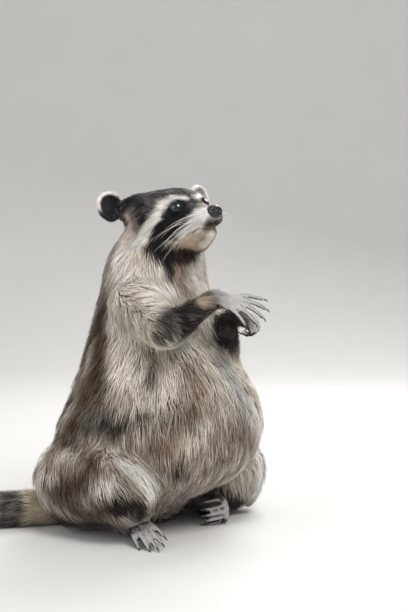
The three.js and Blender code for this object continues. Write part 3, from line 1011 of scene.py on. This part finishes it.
# The sizes of a tuft on bare skin, and how much they grow with the depth of the coat.
LONG = (2.5 * MM, 1.9)
WIDE = (0.4 * MM, 0.053)
LIFT = 0.3 * MM  # how far even the flattest tuft rises from the skin
LOWEST = 0.3 * MM  # how near tufts come to the floor
FLAT = 0.55  # how far a tuft's round section is pressed flat
CLUSTER = 14  # about how many tufts gather into one lock
WIDTHS = {2: (0.9, 0.8), 3: (0.8, 1.0, 0.6), 8: (1, 0.95, 0.9, 0.8, 0.7, 0.6, 0.45, 0.3)}
REACHES = {rings: np.linspace(0, 1, rings + 1) for rings in WIDTHS}


def unwrapped(name, surface, faces):
    """Unwraps part of the skin's own shape, and gives a tree of it with its map."""
    used, places = np.unique(faces, return_inverse=True)
    points = surface.points[used]
    sheet = new_object(name, mesh_of(name, points, places.reshape(-1, 3)))
    sheet.data.uv_layers.new(name="OFBake")
    context = {"object": sheet, "active_object": sheet, "edit_object": sheet}
    bpy.context.view_layer.objects.active = sheet
    for other in bpy.context.selected_objects:
        other.select_set(False)
    sheet.select_set(True)
    with bpy.context.temp_override(**context):
        bpy.ops.object.mode_set(mode="EDIT")
        bpy.ops.mesh.select_all(action="SELECT")
        bpy.ops.uv.smart_project(angle_limit=math.radians(66), island_margin=0.004)
        bpy.ops.object.mode_set(mode="OBJECT")
    flat = fetched(sheet.data.uv_layers["OFBake"].data, "uv", 2, np.float32)
    tree = BVHTree.FromPolygons(points.tolist(), places.reshape(-1, 3).tolist())
    corners = points[places.reshape(-1, 3)]
    mesh = sheet.data
    bpy.data.objects.remove(sheet)
    bpy.data.meshes.remove(mesh)
    return tree, corners, flat.reshape(-1, 3, 2)


def on_map(chart, points):
    """The places of points on the unwrapped skin."""
    tree, corners, flat = chart
    hits = [tree.find_nearest(point) for point in points.tolist()]
    index = np.array([hit[2] for hit in hits])
    spots = np.array([hit[0][:] for hit in hits])
    a, b, c = np.moveaxis(corners[index], 1, 0)
    normal = np.cross(b - a, c - a)
    size = np.maximum((normal * normal).sum(1), 1e-18)
    share_b = (np.cross(spots - a, c - a) * normal).sum(1) / size
    share_c = (np.cross(b - a, spots - a) * normal).sum(1) / size
    shares = np.stack([1 - share_b - share_c, share_b, share_c], axis=1).clip(0, 1)
    return (flat[index] * shares[:, :, None]).sum(1) / shares.sum(1)[:, None]


def scattered(surface, faces, count, rng):
    """Roots spread evenly over faces: the face of each and its place in it."""
    a, b, c = (surface.points[faces[:, corner]] for corner in range(3))
    area = np.linalg.norm(np.cross(b - a, c - a), axis=1)
    middles = (a + b + c) / 3
    cell = np.floor(middles / (6 * MM)).astype(int)
    order = np.lexsort((middles[:, 2], cell[:, 0], cell[:, 1], cell[:, 2]))
    total = np.cumsum(area[order])
    marks = (np.arange(count) + rng.uniform(0, 1, count)) / count * total[-1]
    face = order[np.searchsorted(total, marks).clip(max=len(faces) - 1)]
    u, v = rng.uniform(0, 1, (2, count))
    over = u + v > 1
    u[over], v[over] = 1 - u[over], 1 - v[over]
    return face, np.stack([1 - u - v, u, v], axis=1)


class Growth:
    """The skin as the coat sees it."""

    def __init__(self, thing):
        self.skin = Surface(thing)
        depsgraph = bpy.context.evaluated_depsgraph_get()
        self.tree = BVHTree.FromObject(thing, depsgraph)
        self.part = got(thing, "part")
        self.fields = {
            "depth": got(thing, "depth"),
            "grizzle": got(thing, "grizzle"),
            "lie": got(thing, "lie", 3),
            "outward": got(thing, "outward", 3),
            "marking": got(thing, "marking", 4),
        }
        faces = self.skin.faces
        self.face_lie = self.fields["lie"][faces].mean(axis=1)
        self.face_outward = unit(self.fields["outward"][faces].mean(axis=1))

    def at(self, name, faces, shares):
        """A field's values at places in faces."""
        values = self.fields[name][faces]
        if values.ndim == 2:
            return (values * shares).sum(1)
        return (values * shares[:, :, None]).sum(1)

    def nearest(self, points):
        """The nearest places on the skin, and their faces."""
        hits = [self.tree.find_nearest(point) for point in points.tolist()]
        return np.array([hit[0][:] for hit in hits]), np.array([hit[2] for hit in hits])


def sized(size, depth):
    """A tuft's size where the coat is that deep."""
    bare, gain = size
    return bare + gain * depth


def turned(lie, outward, angle):
    """A direction along the skin, turned by an angle about the skin's normal."""
    lie = unit(lie - outward * (lie * outward).sum(1, keepdims=True))
    side = np.cross(outward, lie)
    return lie * np.cos(angle)[:, None] + side * np.sin(angle)[:, None]


def centre_lines(growth, roots, outward, lie, length, height, turn, rings):
    """The middle line of each tuft: it follows the skin and rises away from it."""
    way = turned(lie, outward, turn)
    place = roots
    lines = [roots - outward * (0.5 * MM)]
    normals = [outward]
    reaches = REACHES[rings]
    for last, reach in zip(reaches, reaches[1:]):
        place, face = growth.nearest(place + way * (length * (reach - last))[:, None])
        normal = growth.face_outward[face]
        way = unit(way * 0.4 + turned(growth.face_lie[face], normal, turn) * 0.6)
        rise = 1 - (1 - reach) ** 1.7
        lines.append(place + normal * (height * rise)[:, None])
        normals.append(normal)
    return np.stack(lines, axis=1), np.stack(normals, axis=1)


def gathered(lines, roots, rng, every, pull):
    """Draws tufts towards the nearest of some of them, more towards their tips; also says
    which one that is."""
    guides = rng.choice(len(roots), max(1, len(roots) // every), replace=False)
    own = guides[nearest_of(roots[guides], roots)]
    share = np.linspace(0, 1, lines.shape[1]) ** 1.5
    strength = pull * rng.uniform(0.4, 1.2, len(roots))
    return lines + (lines[own] - lines) * (strength[:, None] * share)[:, :, None], own


def tuft_mesh(name, lines, normals, widths, chart_places, fields):
    """One mesh of closed, three-sided tufts along lines, with their map and fields."""
    count, stops = lines.shape[:2]
    rings = stops - 1
    along = np.array(REACHES[rings])
    tangent = unit(np.gradient(lines, axis=1))
    side = unit(np.cross(tangent, normals))
    third = np.cross(side, tangent)
    angles = np.radians([90, 210, 330])[:, None, None, None]
    ring = np.cos(angles) * side + FLAT * np.sin(angles) * third
    ring = np.moveaxis(ring, 0, 2)[:, :rings]
    size = widths[:, None] * np.array(WIDTHS[rings])
    rims = lines[:, :rings, None] + ring * size[:, :, None, None] / 2
    points = np.concatenate([rims.reshape(count, -1, 3), lines[:, -1:]], axis=1)
    points[:, :, 2] = np.maximum(points[:, :, 2], LOWEST)
    soft = unit(unit(ring) * 0.55 + normals[:, :rings, None])
    shade = np.concatenate([soft.reshape(count, -1, 3), normals[:, -1:]], axis=1)

    each = 3 * rings + 1
    faces = [(0, 1, 2)]
    for level in range(rings - 1):
        for corner in range(3):
            a, b = 3 * level + corner, 3 * level + (corner + 1) % 3
            faces += [(a, b + 3, b), (a, a + 3, b + 3)]
    base = 3 * (rings - 1)
    faces += [(base + (corner + 1) % 3, base + corner, each - 1) for corner in range(3)]
    faces = (np.arange(count)[:, None, None] * each + np.array(faces)).reshape(-1, 3)

    mesh = mesh_of(name, points.reshape(-1, 3), faces)
    across = np.tile([0.5, 0.0, 1.0], rings).tolist() + [0.5]
    level = np.repeat(along[:rings], 3).tolist() + [1.0]
    spots = chart_places[:, None] + (np.stack([across, level], axis=1) - 0.5) * PATCH
    layer = mesh.uv_layers.new(name="OFBake")
    layer.data.foreach_set("uv", spots.reshape(-1, 2)[faces.ravel()].astype(np.float32).ravel())
    thing = new_object(name, mesh)
    put(thing, "along", "FLOAT", np.tile(level, count))
    for key, values in fields.items():
        kind = "FLOAT_COLOR" if values.ndim == 2 else "FLOAT"
        put(thing, key, kind, np.repeat(values, each, axis=0))
    mesh.normals_split_custom_set_from_vertices(shade.reshape(-1, 3).tolist())
    return thing


class RACCOON_OT_coat(Operator):
    """Grows the coat as tufts that follow its lie, in one piece for each region"""

    bl_idname = "raccoon.coat"
    bl_label = "Coat"

    def execute(self, context):
        settings = context.scene.raccoon_coat
        growth = Growth(bpy.data.objects["skin"])
        material = coat_material()
        names = np.array([kind_of(node) for node in FORM])
        kinds = names[growth.part[growth.skin.faces[:, 0]]]
        middles = growth.skin.points[growth.skin.faces].mean(axis=1)
        for number, (name, coat) in enumerate(COATS.items()):
            rng = np.random.default_rng(settings.seed + number)
            chosen = np.isin(kinds, coat.kinds)
            if coat.where:
                chosen &= coat.where(middles)
            faces = growth.skin.faces[chosen]
            count = int(coat.tufts * settings.density)
            face, shares = scattered(growth.skin, faces, count, rng)
            corners = faces[face]
            roots = (growth.skin.points[corners] * shares[:, :, None]).sum(1)
            outward = unit(growth.at("outward", corners, shares))
            lie = growth.at("lie", corners, shares)
            depth = growth.at("depth", corners, shares)
            length = sized(LONG, depth) * rng.uniform(0.8, 1.2, count) * settings.length
            height = LIFT + depth * rng.uniform(0.55, 1.05, count)
            swirl = wander(roots / MM, 30, seed=7)[:, 0] * settings.swirl
            turn = swirl + rng.normal(0, 0.14, count)
            lines, normals = centre_lines(
                growth, roots, outward, lie, length, height, turn, coat.rings
            )
            lines, own = gathered(lines, roots, rng, CLUSTER, settings.clump)
            widths = sized(WIDE, depth) * rng.uniform(0.7, 1.3, count)
            locks = wander(roots / MM, 9, seed=11)[:, 1] * 0.25 + rng.normal(0.5, 0.2, count)
            locks += wander(roots / MM, 32, seed=12)[:, 1] * 0.2
            tone = np.clip(locks[own] + rng.normal(0, 0.16, count), 0, 1)
            chart = unwrapped(name, growth.skin, faces)
            seen = growth.nearest(0.3 * lines[:, 0] + 0.7 * lines[:, -1])[1]
            seen = growth.skin.faces[seen]
            fields = {
                "tone": tone,
                "grizzle": growth.fields["grizzle"][seen].mean(axis=1),
                "marking": growth.fields["marking"][seen].mean(axis=1),
            }
            piece = tuft_mesh(name, lines, normals, widths, on_map(chart, roots), fields)
            piece.data.materials.append(material)
            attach(piece, "root")
            slot_of(coat)
        return {"FINISHED"}


def slot_of(coat):
    """The name of the slot that a coat piece belongs in."""
    if coat.kinds[0] in ("head", "ear"):
        return "face_coat"
    return {"hand": "paws", "tail": "tail_coat"}.get(coat.kinds[0], "body_coat")


# ---------------------------------------------------------------- eyes, nose, claws, whiskers


def eye_material():
    """A dark iris round a black pupil, under a wet cornea."""
    finish = Finish(
        "wet_eye",
        Roughness=0.03,
        IOR=1.6,
        Specular_Tint=(0.72, 0.86, 1.0, 1.0),
        Coat_Weight=0.3,
        Coat_Roughness=0.02,
    )
    rim = finish.stored("rim")
    iris = finish.mix((0.008, 0.006, 0.006), (0.003, 0.003, 0.004), finish.noise(0.6 * MM, 3))
    tint = finish.mix((0.001, 0.001, 0.001), iris, rim.ramp(0.34, 0.46))
    finish.feed("Base Color", finish.mix(tint, (0.003, 0.002, 0.002), rim.ramp(0.85, 1.05)))
    return finish.material


class RACCOON_OT_eyes(Operator):
    """Turns each eye as a ball with a raised cornea"""

    bl_idname = "raccoon.eyes"
    bl_label = "Eyes"

    def execute(self, context):
        material = eye_material()
        for side, sign in SIDES.items():
            place, radius = eye_size(side)
            inward, up, outward = eye_axes(sign)
            ball = bmesh.new()
            bmesh.ops.create_uvsphere(ball, u_segments=48, v_segments=32, radius=1)
            mesh = bpy.data.meshes.new(f"{side}_eyeball")
            ball.to_mesh(mesh)
            ball.free()
            thing = new_object(f"{side}_eyeball", mesh)
            surface = Surface(thing)
            away = np.arccos(np.clip(surface.points[:, 2], -1, 1))
            swell = 1 + 0.07 * (1 - step(away, 0.5, 0.85))
            turn = np.column_stack([inward, up, outward])
            put(thing, "rim", "FLOAT", away)
            surface.points = place + (surface.points * swell[:, None] * radius) @ turn.T
            surface.write()
            shade_smooth(mesh)
            mesh.materials.append(material)
            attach(thing, "root")
            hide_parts(f"{side}_eye")
        return {"FINISHED"}


class RACCOON_OT_nose(Operator):
    """Shapes the nose leather, with its nostrils and the groove between them"""

    bl_idname = "raccoon.nose"
    bl_label = "Nose"

    def execute(self, context):
        thing = fused("nose_leather", ["nose"], 0.25 * MM, 0.5 * MM)
        surface = Surface(thing)
        surface.relax(10)
        local = in_head(surface.points)
        low, high = local.min(0), local.max(0)
        middle = (low + high) / 2
        tip = low[1]
        hollow = np.zeros(len(local))
        for sign in SIDES.values():
            spot = np.array([sign * 4.4, tip + 1.5, middle[2] + 0.2])
            away = (local - spot) / np.array([2.3, 4.5, 1.7])
            away[:, 2] += sign * away[:, 0] * 0.35
            hollow += 3.2 * np.exp(-((away**2).sum(1) ** 1.5))
        cut = np.exp(-((local[:, 0] / 0.55) ** 2)) * step(-local[:, 1], -tip - 6, -tip - 2)
        hollow += 0.7 * cut * step(-local[:, 2], -middle[2] - 2, -middle[2] + 2)
        local[:, 1] += hollow
        surface.points = from_head(local)
        surface.write()
        finish = Finish("nose_leather", Roughness=0.3, Coat_Weight=0.2, Coat_Roughness=0.2)
        pebble = finish.node(
            "ShaderNodeTexVoronoi",
            {"feature": "SMOOTH_F1"},
            {
                "Vector": finish.node("ShaderNodeTexCoord", output="Object"),
                "Scale": 1 / (0.9 * MM),
            },
        )
        finish.feed("Base Color", finish.mix((0.012, 0.011, 0.012), (0.004, 0.004, 0.005), pebble))
        finish.feed("Roughness", pebble.ramp(0.1, 0.7, 0.24, 0.45))
        finish.bump(1 - pebble, 0.22 * MM)
        shade_smooth(thing.data)
        thing.data.materials.append(finish.material)
        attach(thing, "root")
        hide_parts("nose")
        return {"FINISHED"}


class RACCOON_OT_claws(Operator):
    """Rounds the claws of each paw"""

    bl_idname = "raccoon.claws"
    bl_label = "Claws"

    def execute(self, context):
        finish = Finish("claw_horn", Roughness=0.35, Coat_Weight=0.2)
        streaks = finish.noise(0.6 * MM, 3)
        finish.feed("Base Color", finish.mix((0.035, 0.026, 0.022), (0.12, 0.09, 0.07), streaks))
        finish.feed("Roughness", streaks.ramp(0.3, 0.7, 0.28, 0.45))
        finish.bump(streaks, 0.1 * MM)
        for paw in PAWS:
            nodes = claws_of(paw)
            thing = fused(f"{paw}_claws", nodes, GROWN, 0.4 * MM)
            surface = Surface(thing)
            surface.relax(4)
            surface.write()
            shade_smooth(thing.data)
            thing.data.materials.append(finish.material)
            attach(thing, "root")
            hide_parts(*nodes)
        return {"FINISHED"}


class RACCOON_OT_whiskers(Operator):
    """Sets rows of whiskers in both sides of the muzzle"""

    bl_idname = "raccoon.whiskers"
    bl_label = "Whiskers"

    def execute(self, context):
        growth = Growth(bpy.data.objects["skin"])
        rng = np.random.default_rng(context.scene.raccoon_coat.seed + 50)
        reach = REACHES[8]
        roots, lines = [], []
        for sign in SIDES.values():
            for row in range(4):
                for number in range(4):
                    spot = np.array([14 * sign, -70 + 4.5 * number, -10 - 3.2 * row])
                    spot += rng.normal(0, 0.7, 3)
                    way = np.array([0.75 * sign, 0.3 + 0.12 * number, 0.1 - 0.12 * row])
                    way = unit(way + rng.normal(0, 0.07, 3))
                    length = (34 + 7 * number) * rng.uniform(0.85, 1.15)
                    sag = np.array([-0.12 * sign, 0.22, -0.3]) * length
                    path = np.outer(reach, way * length) + np.outer(reach**2, sag)
                    roots.append(from_head(spot))
                    lines.append(path * MM @ HEAD_TURN.T)
        roots, faces = growth.nearest(np.array(roots))
        lines = np.array(lines) + roots[:, None]
        normals = np.repeat(growth.face_outward[faces][:, None], len(reach), axis=1)
        count = len(roots)
        faces = growth.skin.faces
        on_head = growth.part[faces[:, 0]] == FORM.index("head")
        chart = unwrapped("whiskers", growth.skin, faces[on_head])
        white = np.array([*context.scene.raccoon_colours.white, 1])
        fields = {
            "tone": np.full(count, 0.5),
            "grizzle": np.zeros(count),
            "marking": np.tile(white, (count, 1)),
        }
        widths = np.full(count, 0.55 * MM)
        piece = tuft_mesh("whiskers", lines, normals, widths, on_map(chart, roots), fields)
        piece.data.materials.append(bpy.data.materials["coat_hair"])
        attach(piece, "root")
        return {"FINISHED"}


# ---------------------------------------------------------------- the stage


BACKDROP = {"away": (0.788, 0.616, 0), "aside": (0.616, -0.788, 0)}  # ways over the floor
BACKDROP_SIZE = 6.0  # how far it reaches to each side, towards the camera and up
BEND_START = 1.6  # how far behind the middle the floor starts to curve up
BEND_RADIUS = 1.4  # the radius of that curve
LAMPS = {  # the place and size of each in metres, and its power in watts
    "key": ((-0.7, -1.5, 1.9), 1.0, 34),
    "fill": ((-2.0, 0.3, 1.1), 1.4, 12),
    "rim": ((1.3, 0.3, 1.5), 1.0, 26),
}
LIT = Vector((0, 0, 0.2))  # where the lamps point
CAMERA = {"place": (-1.2838, -1.0856, 0.368), "way": (0.788, 0.6157, 0), "down": 3.5, "lens": 82}


def backdrop_mesh():
    """The floor, which curves up into a wall behind the animal."""
    away, aside = (np.array(BACKDROP[way]) for way in ("away", "aside"))
    bend = np.radians(np.arange(0, 91, 5))
    rise = BEND_RADIUS - BEND_RADIUS * np.cos(bend)
    end = BEND_START + BEND_RADIUS
    reach = np.concatenate([[-BACKDROP_SIZE], BEND_START + BEND_RADIUS * np.sin(bend), [end]])
    height = np.concatenate([[0.0], rise, [BACKDROP_SIZE]])
    spine = reach[:, None] * away + height[:, None] * np.array([0, 0, 1.0])
    points = np.concatenate([spine - BACKDROP_SIZE * aside, spine + BACKDROP_SIZE * aside])
    a = np.arange(len(spine) - 1)
    b = a + len(spine)
    faces = np.concatenate([np.stack([a, b, b + 1], 1), np.stack([a, b + 1, a + 1], 1)])
    return mesh_of("floor", points, faces)


def pointed(thing, place, way):
    """Puts a lamp or a camera in its place and points it that way."""
    thing.location = place
    thing.rotation_euler = way.to_track_quat("-Z", "Y").to_euler()


class RACCOON_OT_stage(Operator):
    """Sets the floor, the backdrop's colour, the lights and the camera"""

    bl_idname = "raccoon.stage"
    bl_label = "Stage"

    def execute(self, context):
        scene = context.scene
        floor = new_object("floor", backdrop_mesh())
        finish = Finish("floor", Roughness=0.8)
        grain = finish.noise(0.15, 2)
        finish.feed("Base Color", finish.mix((0.70, 0.69, 0.675), (0.74, 0.73, 0.715), grain))
        floor.data.materials.append(finish.material)

        world = bpy.data.worlds.new("studio")
        scene.world = world
        world.use_nodes = True
        background = world.node_tree.nodes["Background"]
        background.inputs["Color"].default_value = (0.86, 0.85, 0.84, 1)
        background.inputs["Strength"].default_value = 0.6
        for name, (place, size, power) in LAMPS.items():
            lamp = bpy.data.lights.new(name, "AREA")
            lamp.size = size
            lamp.energy = power
            pointed(new_object(name, lamp), place, LIT - Vector(place))

        lens = bpy.data.cameras.new("camera")
        lens.lens = CAMERA["lens"]
        lens.sensor_width = 36
        tilt = math.radians(CAMERA["down"])
        level = Vector(CAMERA["way"]).normalized()
        view = level * math.cos(tilt) - Vector((0, 0, math.sin(tilt)))
        scene.camera = new_object("camera", lens)
        pointed(scene.camera, CAMERA["place"], view)
        scene.view_settings.view_transform = "Standard"
        return {"FINISHED"}


# ---------------------------------------------------------------- the add-on


class RaccoonCoat(PropertyGroup):
    """Sizes of the skin and the coat."""

    def share(name, description, default, low, high):
        return FloatProperty(
            name=name, description=description, default=default, min=low, max=high, subtype="FACTOR"
        )

    skin_step: FloatProperty(
        name="Skin step",
        description="Size of the finest faces of the skin",
        default=0.95 * MM,
        min=0.5 * MM,
        max=5 * MM,
        unit="LENGTH",
    )
    depth: share("Depth", "Depth of the skin under the coat, as a share of the usual", 1.0, 0.2, 1.5)
    length: share("Length", "Length of the hair, as a share of the usual", 1.0, 0.2, 2)
    density: share("Density", "Number of tufts, as a share of the usual", 1.0, 0.05, 1)
    clump: share("Clump", "How much the tips of the tufts gather into locks", 0.45, 0, 1)
    swirl: FloatProperty(
        name="Swirl",
        description="How far the hair strays from its lie",
        default=0.2,
        min=0,
        max=1.5,
        subtype="ANGLE",
    )
    seed: IntProperty(name="Seed", description="Start of the random draws", default=40, min=0)


OPERATORS = (
    RACCOON_OT_skin,
    RACCOON_OT_eyes,
    RACCOON_OT_nose,
    RACCOON_OT_claws,
    RACCOON_OT_coat,
    RACCOON_OT_whiskers,
    RACCOON_OT_stage,
)


class RACCOON_PT_model(Panel):
    """The raccoon's sizes, colours and pieces"""

    bl_label = "Raccoon"
    bl_space_type = "VIEW_3D"
    bl_region_type = "UI"
    bl_category = "Raccoon"

    def draw(self, context):
        column = self.layout.column()
        for group in (context.scene.raccoon_coat, context.scene.raccoon_colours):
            for name in type(group).__annotations__:
                column.prop(group, name)
        for operator in OPERATORS:
            column.operator(operator.bl_idname)


CLASSES = (RaccoonCoat, RaccoonColours, *OPERATORS, RACCOON_PT_model)


def register():
    for made in CLASSES:
        bpy.utils.register_class(made)
    bpy.types.Scene.raccoon_coat = PointerProperty(type=RaccoonCoat)
    bpy.types.Scene.raccoon_colours = PointerProperty(type=RaccoonColours)


def unregister():
    del bpy.types.Scene.raccoon_colours
    del bpy.types.Scene.raccoon_coat
    for made in reversed(CLASSES):
        bpy.utils.unregister_class(made)


def main():
    register()
    for operator in OPERATORS:
        group, name = operator.bl_idname.split(".")
        getattr(getattr(bpy.ops, group), name)()
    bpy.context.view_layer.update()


if __name__ == "__main__":
    main()
